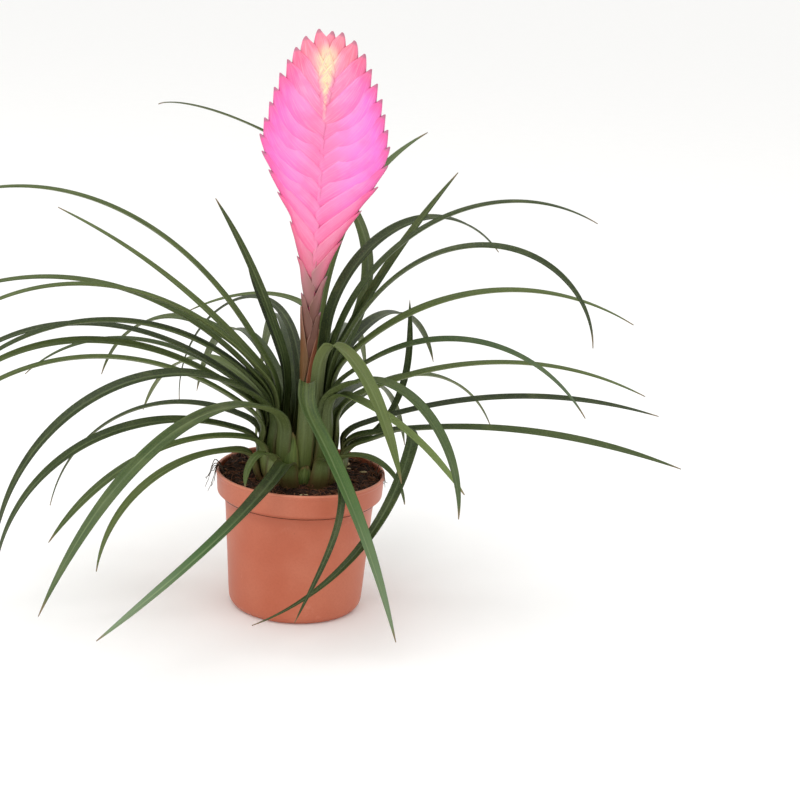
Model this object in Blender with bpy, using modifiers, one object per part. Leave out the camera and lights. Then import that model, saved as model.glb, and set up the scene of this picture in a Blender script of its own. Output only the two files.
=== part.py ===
# Potted bromeliad: a flat paddle-shaped flower spike on a leaning stem, above a rosette of
# narrow arching leaves, rooted in soil in a round nursery pot.  Metres, +Z up, the origin at
# the centre of the pot's underside.  Angles are in degrees, measured from +X towards +Y.
import math
from collections import namedtuple

import bmesh
import bpy
import numpy as np
from mathutils import Matrix, Vector

# pot
POT_HEIGHT = 0.0750
RIM_RADIUS = 0.0450
BAND_DEPTH = 0.0125        # the straight collar under the rim
SHOULDER_RADIUS = 0.0396   # where the body starts, under the collar
SHOULDER_Z = 0.0595
BASE_RADIUS = 0.0355
CORNER = 0.0035
WALL = 0.0013
POT_STEPS = 40
DRAIN_HOLES = 8
DRAIN_RADIUS = 0.0035
DRAIN_CIRCLE = 0.0235
PAD_RADIUS = 0.0130        # flat pad in the middle of the underside, at floor level
RECESS = 0.0018            # height of the underside between the pad and the foot ring

# soil
GAP = 0.0003               # clearance between neighbouring pieces
SOIL_EDGE_Z = 0.0705
SOIL_CROWN_Z = 0.0712
SOIL_STEPS = 36
HEAP = 0.0016              # height of the unevenness of the soil

# stem
STEM_FOOT_Z = 0.0560
STEM_TOP_Z = 0.1580
STEM_RADIUS = 0.0030
ROOTSTOCK_RADIUS = 0.0042
STEM_LEAN = 0.017          # sideways run for each metre of height

# flower spike
SPIKE_FOOT_Z = 0.1585
SPIKE_LENGTH = 0.1480
SPIKE_PAIRS = 14
BRACT_RISE = 0.0310        # from a bract's foot on the rachis up to its tip
BRACT_DEPTH = 0.0150       # from its keel to its free margin
BRACT_SWELL = 0.0030       # half thickness of the spike at the margins
CLASP = 0.0024             # how far a bract's foot wraps past the rachis
RACHIS_RADIUS = 0.0026
SPIKE_OUTLINE = (          # share of the spike's length, half width
    (0.00, 0.0040), (0.17, 0.0085), (0.27, 0.0125), (0.36, 0.0185), (0.47, 0.0270),
    (0.57, 0.0335), (0.63, 0.0345), (0.75, 0.0310), (0.85, 0.0250), (0.93, 0.0170),
    (0.97, 0.0110), (1.00, 0.0045),
)

# leaves
LEAF_FOOT_Z = 0.0722
LEAF_THICKNESS = 0.0006
SHEATH_WIDTH = 0.0080
SHEATH_TILT = 84           # steepness of the sheaths, which clasp the stem
TURN = 0.022               # length over which a leaf bends from its sheath into its blade
INNERMOST = 0.0055         # distance of the innermost sheath from the stem's axis
LAYER = 0.00100            # from one sheath to the next one outside it
LEAF_ROWS = 11

Leaf = namedtuple("Leaf", "azimuth neck rise droop bend sway length width fold",
                  defaults=[None])
Fold = namedtuple("Fold", "where pitch turn")
# azimuth of the blade, sheath length (mm), rise of the blade where it leaves the sheath,
# droop from there to the tip, how late the droop comes, sideways sweep, length and width
# (mm), and a fold where the blade is bent over
LEAVES = (
    # inner leaves, standing highest
    Leaf(48, 40, 46, 47, 2.0, 212, 318, 7),
    Leaf(172, 40, 59, 90, 1.3, 0, 280, 8),
    Leaf(160, 37, 43, 24, 1.0, 0, 200, 7),
    Leaf(145, 50, 64, 16, 1.2, 0, 155, 6),
    Leaf(136, 44, 60, 5, 0.9, 0, 114, 6),
    Leaf(75, 48, 75, 50, 1.0, -46, 212, 7),
    Leaf(25, 50, 62, 14, 1.0, 0, 182, 7),
    Leaf(42, 57, 84, 128, 0.8, 0, 240, 8),
    Leaf(16, 60, 70, 98, 1.0, 0, 238, 8),
    Leaf(352, 54, 64, 150, 1.4, 0, 255, 9),
    Leaf(0, 48, 47, 76, 1.0, 0, 230, 9),
    Leaf(340, 41, 40, 95, 1.2, 0, 205, 8),
    Leaf(102, 30, 61, 150, 1.0, 66, 240, 6),
    Leaf(75, 24, 40, 70, 1.0, 110, 205, 6),
    # arching out to the left
    Leaf(185, 34, 46, 82, 1.2, 0, 250, 8),
    Leaf(192, 37, 48, 92, 1.2, 0, 245, 8),
    Leaf(188, 31, 46, 108, 1.0, 0, 250, 9),
    Leaf(178, 26, 38, 95, 1.2, 0, 240, 8),
    Leaf(178, 23, 34, 90, 1.2, 0, 230, 8),
    Leaf(165, 24, 34, 80, 1.2, 0, 185, 7),
    Leaf(195, 20, 36, 105, 1.2, 0, 250, 8),
    Leaf(210, 27, 36, 122, 1.0, 0, 240, 9),
    Leaf(194, 10, 18, 110, 1.1, 0, 210, 8),
    Leaf(162, 12, 16, 94, 1.0, 0, 180, 7),
    Leaf(215, 10, 14, 66, 1.0, 0, 157, 8),
    Leaf(200, 2, 2, 85, 1.0, 0, 127, 7),
    # to the front, over the rim of the pot
    Leaf(238, 24, 28, 80, 0.8, 0, 250, 9),
    Leaf(250, 4, -14, 20, 1.0, -44, 168, 9),
    Leaf(238, 4, 20, 120, 1.0, 0, 52, 5),
    Leaf(262, 48, -38, 32, 0.6, 8, 206, 9, Fold(0.06, 0, 56)),
    Leaf(294, 6, -4, 62, 0.6, -95, 126, 5),
    Leaf(298, 58, 40, 100, 0.4, 0, 180, 8),
    Leaf(318, 38, -6, 34, 1.0, 0, 145, 8),
    Leaf(313, 35, 36, 126, 1.0, 0, 180, 9),
    # arching out to the right
    Leaf(5, 28, 27, 52, 1.0, 0, 210, 8),
    Leaf(8, 12, 20, 36, 1.0, 0, 200, 7),
    Leaf(354, 10, 13, 30, 1.0, 0, 200, 8),
    Leaf(332, 4, 10, 90, 1.0, 0, 66, 6),
    Leaf(20, 0, 24, -90, 0.8, 60, 110, 5),
    Leaf(342, 6, 24, -50, 1.0, -78, 196, 8, Fold(0.19, 98, -84)),
    # to the back
    Leaf(60, 30, 42, 105, 1.1, 0, 200, 8),
    Leaf(78, 22, 32, 90, 1.1, 0, 215, 8),
    Leaf(99, 24, 36, 105, 1.1, 0, 225, 8),
    Leaf(112, 20, 32, 100, 1.1, 0, 215, 8),
    Leaf(128, 16, 26, 90, 1.1, 0, 180, 8),
    Leaf(68, 10, 16, 80, 1.1, 0, 190, 8),
    Leaf(100, 12, 20, 95, 1.1, 0, 200, 8),
    Leaf(42, 16, 26, 85, 1.1, 0, 170, 8),
    Leaf(145, 30, 44, 115, 1.1, 0, 190, 8),
)

# small bracts that clasp the stem under the spike: azimuth, foot height, length (mm)
STEM_BRACTS = ((200, 96, 44), (20, 110, 40), (190, 124, 36), (350, 134, 34))
STEM_BRACT_WIDTH = 0.0062


def clear_scene():
    for obj in list(bpy.data.objects):
        bpy.data.objects.remove(obj, do_unlink=True)


def new_collection(name, hidden=False):
    group = bpy.data.collections.new(name)
    group.hide_render = hidden
    bpy.context.scene.collection.children.link(group)
    return group


def material(name, colour, roughness):
    made = bpy.data.materials.new(name)
    made.use_nodes = True
    shader = made.node_tree.nodes["Principled BSDF"]
    shader.inputs["Base Color"].default_value = (*colour, 1.0)
    shader.inputs["Roughness"].default_value = roughness
    shader.inputs["Metallic"].default_value = 0.0
    return made


def add_object(name, mesh, group, look=None):
    obj = bpy.data.objects.new(name, mesh)
    group.objects.link(obj)
    if look:
        mesh.materials.append(look)
    return obj


def shade(mesh, angle):
    mesh.shade_smooth()
    mesh.set_sharp_from_angle(angle=math.radians(angle))


def ease(x):
    x = min(max(x, 0.0), 1.0)
    return x * x * (3 - 2 * x)


def turned(name, profile, steps, group, look=None):
    """A solid of revolution about Z from (radius, height) points, the outer side downwards."""
    mesh = bpy.data.meshes.new(name)
    edges = [(i, i + 1) for i in range(len(profile) - 1)]
    mesh.from_pydata([(r, 0, z) for r, z in profile], edges, [])
    obj = add_object(name, mesh, group, look)
    screw = obj.modifiers.new("turn", "SCREW")
    screw.axis = "Z"
    screw.angle = math.tau
    screw.steps = screw.render_steps = steps
    screw.use_merge_vertices = True
    screw.merge_threshold = 0.00002
    screw.use_smooth_shade = True
    return obj


def frozen(obj):
    """The object with its modifiers made part of its mesh."""
    graph = bpy.context.evaluated_depsgraph_get()
    mesh = bpy.data.meshes.new_from_object(obj.evaluated_get(graph))
    obj.modifiers.clear()
    obj.data = mesh
    return obj


# ---- pot ----

def inner_radius(z):
    """Inside radius of the pot at a height."""
    if z >= SHOULDER_Z:
        return SHOULDER_RADIUS + 0.0012 + 0.0028 * ease((z - SHOULDER_Z) / 0.010)
    share = (SHOULDER_Z - z) / SHOULDER_Z
    return SHOULDER_RADIUS - WALL - share * (SHOULDER_RADIUS - BASE_RADIUS)


def make_pot(group, cutters):
    floor_top = RECESS + 0.0016
    lip = 0.0008
    profile = [
        (0, floor_top),
        (inner_radius(floor_top) - 0.0015, floor_top),
        (inner_radius(floor_top + 0.0020), floor_top + 0.0020),
        (inner_radius(SHOULDER_Z - 0.0010), SHOULDER_Z - 0.0010),
        (inner_radius(SHOULDER_Z + 0.0050), SHOULDER_Z + 0.0050),
        (inner_radius(POT_HEIGHT - 0.0030), POT_HEIGHT - 0.0030),
        (RIM_RADIUS - 0.0016, POT_HEIGHT - lip),
        (RIM_RADIUS - 0.0010, POT_HEIGHT),
        (RIM_RADIUS - 0.0003, POT_HEIGHT - 0.0002),
        (RIM_RADIUS, POT_HEIGHT - lip),
        (RIM_RADIUS - 0.0010, POT_HEIGHT - BAND_DEPTH + 0.0006),
        (RIM_RADIUS - 0.0016, POT_HEIGHT - BAND_DEPTH),
        (SHOULDER_RADIUS + 0.0022, SHOULDER_Z + 0.0008),
        (SHOULDER_RADIUS, SHOULDER_Z - 0.0012),
        (BASE_RADIUS + 0.0002, CORNER),
        (BASE_RADIUS - 0.0010, 0.0010),
        (BASE_RADIUS - CORNER, 0),
        (BASE_RADIUS - CORNER - 0.0020, 0),
        (BASE_RADIUS - CORNER - 0.0026, RECESS),
        (PAD_RADIUS + 0.0008, RECESS),
        (PAD_RADIUS, 0),
        (0, 0),
    ]
    terracotta = material("pot_plastic", (0.560, 0.150, 0.080), 0.42)
    pot = turned("pot", profile, POT_STEPS, group, terracotta)
    for i in range(DRAIN_HOLES):
        turn = math.tau * (i + 0.5) / DRAIN_HOLES
        mesh = bpy.data.meshes.new(f"drain_{i + 1}")
        shape = bmesh.new()
        bmesh.ops.create_cone(shape, cap_ends=True, segments=12, radius1=DRAIN_RADIUS,
                              radius2=DRAIN_RADIUS, depth=4 * floor_top)
        shape.to_mesh(mesh)
        shape.free()
        drill = add_object(mesh.name, mesh, cutters)
        drill.location = (DRAIN_CIRCLE * math.cos(turn), DRAIN_CIRCLE * math.sin(turn), 0)
        drill.display_type = "WIRE"
        drill.hide_render = True
        cut = pot.modifiers.new(drill.name, "BOOLEAN")
        cut.operation = "DIFFERENCE"
        cut.object = drill
    return pot


# ---- soil ----

def soil_lift(x, y):
    """How far the soil stands above its even surface at a point."""
    r = math.hypot(x, y)
    waves = (math.sin(260 * x + 1.3) * math.cos(210 * y - 0.4)
             + 0.6 * math.sin(410 * x - 350 * y) + 0.5 * math.cos(330 * y + 150 * x + 2.0))
    return HEAP * (0.45 * waves + 0.5) * ease((r - 0.020) / 0.010)


def make_soil(group):
    floor_top = RECESS + 0.0016
    foot = floor_top + GAP
    edge = inner_radius(SOIL_EDGE_Z) - GAP
    profile = [
        (ROOTSTOCK_RADIUS + GAP, STEM_FOOT_Z - GAP),
        (ROOTSTOCK_RADIUS + GAP, SOIL_CROWN_Z),
        (0.0130, SOIL_CROWN_Z),
        (0.0200, SOIL_CROWN_Z),
        (0.0270, SOIL_CROWN_Z - 0.0002),
        (0.0330, SOIL_CROWN_Z - 0.0004),
        (0.0385, SOIL_EDGE_Z),
        (edge - 0.0003, SOIL_EDGE_Z - 0.0010),
        (inner_radius(SHOULDER_Z + 0.0045) - GAP, SHOULDER_Z + 0.0045),
        (inner_radius(SHOULDER_Z - 0.0012) - GAP, SHOULDER_Z - 0.0012),
        (inner_radius(foot + 0.0020) - GAP, foot + 0.0022),
        (inner_radius(foot) - 0.0019 - GAP, foot),
        (0, foot),
    ]
    earth = material("soil_earth", (0.045, 0.025, 0.015), 0.95)
    soil = turned("soil", [(0, STEM_FOOT_Z - GAP)] + profile, SOIL_STEPS, group, earth)
    frozen(soil)
    for vertex in soil.data.vertices:
        if vertex.co.z > SOIL_EDGE_Z - 0.0002:
            vertex.co.z += soil_lift(vertex.co.x, vertex.co.y)
    shade(soil.data, 50)
    return soil


# ---- stem and flower spike ----

def stem_point(z):
    """Centre of the stem at a height: it leans a little towards +X."""
    return Vector((STEM_LEAN * max(z - LEAF_FOOT_Z, 0.0), 0, z))


def make_stem(group):
    curve = bpy.data.curves.new("stem", "CURVE")
    curve.dimensions = "3D"
    curve.bevel_depth = 1.0
    curve.bevel_resolution = 3
    curve.use_fill_caps = True
    line = curve.splines.new("POLY")
    heights = (STEM_FOOT_Z, 0.0640, 0.0740, 0.0900, 0.1120, 0.1350, STEM_TOP_Z)
    line.points.add(len(heights) - 1)
    for point, z in zip(line.points, heights):
        point.co = (*stem_point(z), 1.0)
        point.radius = STEM_RADIUS + (ROOTSTOCK_RADIUS - STEM_RADIUS) * (1 - ease((z - 0.080) / 0.04))
    green = material("stem_green", (0.300, 0.180, 0.090), 0.55)
    curve.materials.append(green)
    stem = bpy.data.objects.new("stem", curve)
    group.objects.link(stem)
    return stem


def spike_half_width(share):
    shares, widths = zip(*SPIKE_OUTLINE)
    return float(np.interp(share, shares, widths))


def bract_sections(tip_share, side):
    """Stations from a bract's foot to its tip, as (keel, margin, half thickness) points."""
    reach = spike_half_width(tip_share)
    tip_z = tip_share * SPIKE_LENGTH
    rise = min(BRACT_RISE, tip_z - 0.0005)
    foot_z = tip_z - rise
    stations = []
    for t in (0.0, 0.18, 0.36, 0.54, 0.70, 0.84, 0.94, 1.0):
        across = 0.35 * t + 0.65 * math.sin(t * math.pi / 2)
        up = 0.35 * t + 0.65 * (1 - math.cos(t * math.pi / 2))
        keel = Vector((side * reach * across, 0, foot_z + rise * up))
        foot_margin = Vector((-side * CLASP, 0, foot_z + BRACT_DEPTH))
        tip = Vector((side * reach, 0, tip_z))
        margin = foot_margin.lerp(tip, t) + Vector((side * reach * 0.10, 0, 0.004)) * 4 * t * (1 - t)
        swell = BRACT_SWELL * (1 - t) ** 0.6 * (0.55 + 0.45 * min(reach / 0.02, 1)) + 0.00025
        if t == 1.0:
            keel, margin = tip - Vector((0, 0, 0.0003)), tip + Vector((0, 0, 0.0003))
        stations.append((keel, margin, swell))
    return stations


def make_bract(name, tip_share, side, group):
    """One folded bract as a loft of wedge sections, thin at its keel."""
    shape = bmesh.new()
    rings = []
    for keel, margin, swell in bract_sections(tip_share, side):
        corners = [keel, margin + Vector((0, swell, 0)), margin - Vector((0, swell, 0))]
        rings.append([shape.verts.new(corner) for corner in corners])
    for low, high in zip(rings, rings[1:]):
        for i in range(3):
            j = (i + 1) % 3
            shape.faces.new((low[i], low[j], high[j], high[i]))
    shape.faces.new(rings[0])
    shape.faces.new(reversed(rings[-1]))
    bmesh.ops.recalc_face_normals(shape, faces=shape.faces)
    mesh = bpy.data.meshes.new(name)
    shape.to_mesh(mesh)
    shape.free()
    obj = add_object(name, mesh, group)
    obj.display_type = "WIRE"
    obj.hide_render = True
    return obj


def make_spike(group, cutters):
    """The rachis with its bracts in two ranks, joined into one piece."""
    pink = material("spike_pink", (1.000, 0.160, 0.480), 0.45)
    mesh = bpy.data.meshes.new("spike")
    shape = bmesh.new()
    length = SPIKE_LENGTH - 0.012
    bmesh.ops.create_cone(shape, cap_ends=True, segments=12, radius1=RACHIS_RADIUS,
                          radius2=0.0010, depth=length,
                          matrix=Matrix.Translation((0, 0, length / 2)))
    shape.to_mesh(mesh)
    shape.free()
    spike = add_object("spike", mesh, group, pink)
    placed = Matrix.Translation(stem_point(SPIKE_FOOT_Z)) @ Matrix.Rotation(
        math.atan(STEM_LEAN), 4, "Y")
    spike.matrix_world = placed
    for pair in range(SPIKE_PAIRS):
        for side in (-1, 1):
            step = (pair + (0.45 if side > 0 else 0)) / (SPIKE_PAIRS - 0.5)
            share = 1 - (1 - step) ** 1.45 * 0.83
            bract = make_bract(f"bract_{pair + 1}_{'right' if side > 0 else 'left'}",
                               share, side, cutters)
            bract.matrix_world = placed
            join = spike.modifiers.new(bract.name, "BOOLEAN")
            join.operation = "UNION"
            join.solver = "MANIFOLD"
            join.object = bract
    return spike


# ---- leaves ----

def seats_of(leaves):
    """Where each leaf's sheath sits round the stem, as (azimuth, distance from the axis).

    The leaves are placed from the longest sheath, in the middle, outwards: each takes the
    place nearest the stem where it clears the sheaths that are there already.
    """
    order = sorted(range(len(leaves)), key=lambda i: -(leaves[i].neck + 0.3 * leaves[i].rise))
    seats = {}
    for i in order:
        best = None
        for turn in range(-12, 13, 6):
            azimuth = leaves[i].azimuth + turn
            radius = INNERMOST
            moved = True
            while moved:
                moved = False
                half = SHEATH_WIDTH / 2 / radius
                for other, distance in seats.values():
                    apart = abs((azimuth - other + 180) % 360 - 180)
                    reach = math.degrees(half + SHEATH_WIDTH / 2 / distance) + 2
                    if apart < reach and radius < distance + LAYER - 1e-6:
                        radius = distance + LAYER
                        moved = True
            cost = radius + abs(turn) * 0.00004
            if best is None or cost < best[0]:
                best = (cost, azimuth, radius)
        seats[i] = best[1:]
    return [seats[i] for i in range(len(leaves))]


def heading(leaf, seat, t, u):
    turned_to = seat + (leaf.azimuth - seat) * ease((t - 0.5 * leaf.neck / 1000) / (TURN * 1.5))
    swept = turned_to + leaf.sway * u ** 1.1
    if leaf.fold:
        swept += leaf.fold.turn * ease((u - leaf.fold.where + 0.1) / 0.2)
    return math.radians(swept)


def elevation(leaf, t, u):
    settled = ease((t - leaf.neck / 1000) / TURN)
    angle = SHEATH_TILT + (leaf.rise - SHEATH_TILT) * settled - leaf.droop * u ** leaf.bend
    if leaf.fold:
        angle -= leaf.fold.pitch * ease((u - leaf.fold.where + 0.1) / 0.2)
    return math.radians(angle)


def leaf_frames(leaf, seat, distance, stops):
    """Point, across and inward directions of the midrib at the given lengths from the foot."""
    length = leaf.length / 1000
    start = math.radians(seat)
    point = Vector((distance * math.cos(start), distance * math.sin(start), LEAF_FOOT_Z))
    steps = 160
    frames, done = [], 0
    for i in range(steps + 1):
        while done < len(stops) and i / steps * length >= stops[done] - 1e-9:
            t = stops[done]
            u = max(0.0, (t - leaf.neck / 1000 - TURN) / (length - leaf.neck / 1000 - TURN))
            h, e = heading(leaf, seat, t, u), elevation(leaf, t, u)
            along = Vector((math.cos(e) * math.cos(h), math.cos(e) * math.sin(h), math.sin(e)))
            across = Vector((-math.sin(h), math.cos(h), 0))
            frames.append((point.copy(), across, along.cross(across), u))
            done += 1
        t = (i + 0.5) / steps * length
        u = max(0.0, (t - leaf.neck / 1000 - TURN) / (length - leaf.neck / 1000 - TURN))
        h, e = heading(leaf, seat, t, u), elevation(leaf, t, u)
        point += length / steps * Vector(
            (math.cos(e) * math.cos(h), math.cos(e) * math.sin(h), math.sin(e)))
    return frames


def leaf_stops(leaf):
    """Lengths from the foot at which the leaf has a row of points."""
    length, neck = leaf.length / 1000, leaf.neck / 1000
    stops = [0.0, neck + 0.25 * TURN, neck + 0.6 * TURN, neck + TURN]
    if neck > 0.010:
        stops.insert(1, neck * 0.6)
    blade = length - stops[-1]
    count = LEAF_ROWS - len(stops)
    stops += [stops[-1] + blade * ((i + 1) / count) for i in range(count)]
    return stops


def make_leaf(name, leaf, seat, distance, group, look):
    """A channelled blade that rises out of a sheath round the stem."""
    stops = leaf_stops(leaf)
    mesh = bpy.data.meshes.new(name)
    shape = bmesh.new()
    bmesh.ops.create_grid(shape, x_segments=2, y_segments=len(stops) - 1, size=1.0)
    frames = leaf_frames(leaf, seat, distance, stops)
    for vertex in shape.verts:
        across_share = vertex.co.x
        row = round((vertex.co.y + 1) / 2 * (len(stops) - 1))
        point, across, inward, u = frames[row]
        settled = ease((stops[row] - 0.6 * leaf.neck / 1000) / (TURN * 1.2))
        blade = leaf.width / 1000 * max(1 - 0.55 * u - 0.40 * u ** 6, 0.08)
        width = SHEATH_WIDTH + (blade - SHEATH_WIDTH) * settled
        radius = distance + (0.75 * leaf.width / 1000 - distance) * settled
        angle = across_share * width / 2 / radius
        vertex.co = (point + across * radius * math.sin(angle)
                     + inward * radius * (1 - math.cos(angle)))
    shape.to_mesh(mesh)
    shape.free()
    obj = add_object(name, mesh, group, look)
    skin = obj.modifiers.new("thickness", "SOLIDIFY")
    skin.thickness = LEAF_THICKNESS
    skin.offset = 0
    shade(mesh, 40)
    return obj


def make_leaves(group):
    look = material("leaf_green", (0.090, 0.130, 0.060), 0.55)
    seats = seats_of(LEAVES)
    for i, (leaf, (seat, distance)) in enumerate(zip(LEAVES, seats)):
        make_leaf(f"leaf_{i + 1:02d}", leaf, seat, distance, group, look)


def make_stem_bracts(group):
    """Small upright bracts, each clasping the stem."""
    look = material("bract_mauve", (0.550, 0.250, 0.330), 0.5)
    for i, (azimuth, foot, length) in enumerate(STEM_BRACTS):
        name = f"stem_bract_{i + 1}"
        mesh = bpy.data.meshes.new(name)
        shape = bmesh.new()
        bmesh.ops.create_grid(shape, x_segments=4, y_segments=5, size=1.0)
        out = Vector((math.cos(math.radians(azimuth)), math.sin(math.radians(azimuth)), 0))
        side = Vector((-out.y, out.x, 0))
        for vertex in shape.verts:
            t = (vertex.co.y + 1) / 2
            z = (foot + length * t) / 1000
            radius = STEM_RADIUS + GAP + 0.0008 + 0.0009 * i + 0.0012 * t
            width = STEM_BRACT_WIDTH * (1 - 0.9 * t ** 3)
            angle = vertex.co.x * width / 2 / radius
            vertex.co = (stem_point(z) + out * radius * math.cos(angle)
                         + side * radius * math.sin(angle))
        shape.to_mesh(mesh)
        shape.free()
        obj = add_object(name, mesh, group, look)
        skin = obj.modifiers.new("thickness", "SOLIDIFY")
        skin.thickness = LEAF_THICKNESS
        skin.offset = 0
        shade(mesh, 40)


def main():
    clear_scene()
    parts = new_collection("potted_bromeliad")
    cutters = new_collection("cutters", hidden=True)
    make_pot(parts, cutters)
    make_soil(parts)
    make_stem(parts)
    make_spike(parts, cutters)
    make_stem_bracts(parts)
    make_leaves(parts)


main()
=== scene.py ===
import math
import random

import bmesh
import bpy
from mathutils import Matrix, Vector, noise


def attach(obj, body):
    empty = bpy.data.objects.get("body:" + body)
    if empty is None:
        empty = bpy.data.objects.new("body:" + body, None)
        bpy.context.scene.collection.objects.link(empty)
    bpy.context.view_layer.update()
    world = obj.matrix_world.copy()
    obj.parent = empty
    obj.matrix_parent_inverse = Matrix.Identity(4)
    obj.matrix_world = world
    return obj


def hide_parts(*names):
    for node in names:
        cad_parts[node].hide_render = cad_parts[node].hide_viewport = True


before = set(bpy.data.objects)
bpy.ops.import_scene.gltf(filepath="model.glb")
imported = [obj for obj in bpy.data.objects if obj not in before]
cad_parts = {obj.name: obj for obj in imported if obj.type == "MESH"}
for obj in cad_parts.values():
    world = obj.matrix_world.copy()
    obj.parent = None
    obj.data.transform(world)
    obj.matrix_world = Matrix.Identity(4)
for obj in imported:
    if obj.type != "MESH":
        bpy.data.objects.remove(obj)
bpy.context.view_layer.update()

# A potted bromeliad with a pink quill: pot, soil, rosette of narrow leaves, stem and flat spike.
# Metres, Z up, the pot stands on the floor at the origin.


def ease(x):   # a soft step from 0 to 1
    x = min(max(x, 0.0), 1.0)
    return x * x * (3 - 2 * x)


def blendTo(a, b, share):   # part of the way from a to b
    return a + (b - a) * share


def readCurve(points, x):   # straight lines through (x, y) pairs
    for (x0, y0), (x1, y1) in zip(points, points[1:]):
        if x <= x1:
            return blendTo(y0, y1, max(0.0, (x - x0) / (x1 - x0)))
    return points[-1][1]


def onRing(radius, turn, z=0.0):   # a point this far from the axis
    return (radius * math.cos(turn), radius * math.sin(turn), z)


def paint(red, green, blue):   # the colour as a painter would read it, made linear
    def straight(c):
        c /= 255
        return c / 12.92 if c <= 0.04045 else ((c + 0.055) / 1.055) ** 2.4
    return (straight(red), straight(green), straight(blue), 1.0)


def makePiece(name, points, faces, materials, node=None, numbers=None):
    mesh = bpy.data.meshes.new(name)
    mesh.from_pydata([tuple(p) for p in points], [], faces)
    for key, values in (numbers or {}).items():
        layer = mesh.attributes.new(key, "FLOAT", "POINT")
        layer.data.foreach_set("value", [float(v) for v in values])
    mesh.shade_smooth()
    for material in materials:
        mesh.materials.append(material)
    piece = bpy.data.objects.new(name, mesh)
    bpy.context.scene.collection.objects.link(piece)
    if node:
        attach(piece, "root")
        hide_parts(node)
    return piece


def thicken(piece, thickness, offset=0.0, group=None, thinShare=1.0, under=0):   # a sheet made solid
    skin = piece.modifiers.new("thickness", "SOLIDIFY")
    skin.thickness = thickness
    skin.offset = offset
    skin.use_even_offset = False
    skin.material_offset = under
    if group:
        skin.vertex_group = group
        skin.thickness_vertex_group = thinShare


def freeze(piece):   # modifiers made part of the mesh
    graph = bpy.context.evaluated_depsgraph_get()
    mesh = bpy.data.meshes.new_from_object(piece.evaluated_get(graph))
    piece.modifiers.clear()
    piece.data = mesh


def gridFaces(rows, columns, start=0):   # four-sided faces over rows of points
    return [(start + r * columns + c, start + r * columns + c + 1,
             start + (r + 1) * columns + c + 1, start + (r + 1) * columns + c)
            for r in range(rows - 1) for c in range(columns - 1)]


def addTube(points, faces, line, radii, sides=6):   # a thin round strand through a line of points
    start = len(points)
    for i, at in enumerate(line):
        along = (line[min(i + 1, len(line) - 1)] - line[max(i - 1, 0)]).normalized()
        side = along.cross(Vector((0.31, 0.17, 0.93))).normalized()
        other = along.cross(side)
        for k in range(sides):
            turn = math.tau * k / sides
            points.append(at + (side * math.cos(turn) + other * math.sin(turn)) * radii[i])
    for i in range(len(line) - 1):
        for k in range(sides):
            low, high = start + i * sides, start + (i + 1) * sides
            faces.append((low + k, low + (k + 1) % sides, high + (k + 1) % sides, high + k))
    faces.append(tuple(start + k for k in reversed(range(sides))))
    faces.append(tuple(start + (len(line) - 1) * sides + k for k in range(sides)))


bench = {}   # holds the material being made: its node tree and its shader


def newMaterial(name, roughness, specular=0.5):
    material = bpy.data.materials.new(name)
    material.use_nodes = True
    bench["tree"] = material.node_tree
    bench["shader"] = shader = material.node_tree.nodes["Principled BSDF"]
    shader.inputs["Roughness"].default_value = roughness
    shader.inputs["Specular IOR Level"].default_value = specular
    return material


def addNode(kind, inputs=None, **settings):
    tree = bench["tree"]
    node = tree.nodes.new(kind)
    for key, value in settings.items():
        setattr(node, key, value)
    for key, value in (inputs or {}).items():
        if isinstance(value, bpy.types.NodeSocket):
            tree.links.new(value, node.inputs[key])
        else:
            node.inputs[key].default_value = value
    return node


def wire(value, name):   # into the shader
    bench["tree"].links.new(value, bench["shader"].inputs[name])


def reading(name):   # a number stored on the mesh
    return addNode("ShaderNodeAttribute", attribute_name=name).outputs["Fac"]


def calc(operation, a, b=0.0):
    return addNode("ShaderNodeMath", {0: a, 1: b}, operation=operation).outputs[0]


def times(a, b):
    return calc("MULTIPLY", a, b)


def soften(value, low, high, atLow=0.0, atHigh=1.0):   # a soft step between two readings
    step = addNode("ShaderNodeMapRange", {"Value": value, "From Min": low, "From Max": high,
                                          "To Min": atLow, "To Max": atHigh})
    step.interpolation_type = "SMOOTHSTEP"
    return step.outputs[0]


def mixColour(share, a, b):
    return addNode("ShaderNodeMix", {0: share, 6: a, 7: b}, data_type="RGBA").outputs[2]


def ramp(value, stops):
    node = addNode("ShaderNodeValToRGB", {"Fac": value})
    elements = node.color_ramp.elements
    while len(elements) < len(stops):
        elements.new(0.5)
    for element, (position, colour) in zip(elements, stops):
        element.position = position
        element.color = colour
    return node.outputs["Color"]


def speckle(vector, scale, detail=3.0, roughness=0.55):
    return addNode("ShaderNodeTexNoise", {"Vector": vector, "Scale": scale, "Detail": detail,
                                          "Roughness": roughness}).outputs["Fac"]


def place():   # the point on the piece in its own metres
    return addNode("ShaderNodeTexCoord").outputs["Object"]


def heightOf(point):
    return addNode("ShaderNodeSeparateXYZ", {0: point}).outputs["Z"]


def joined(x, y, z=0.0):   # three readings as one point
    return addNode("ShaderNodeCombineXYZ", {0: x, 1: y, 2: z}).outputs[0]


def bumpFrom(height, strength, distance):
    bump = addNode("ShaderNodeBump", {"Height": height, "Strength": strength, "Distance": distance})
    wire(bump.outputs["Normal"], "Normal")


def letLightIn(weight, radius):   # under the skin, redder light further
    for name, value in (("Weight", weight), ("Radius", radius), ("Scale", 1.0)):
        bench["shader"].inputs["Subsurface " + name].default_value = value


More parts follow.
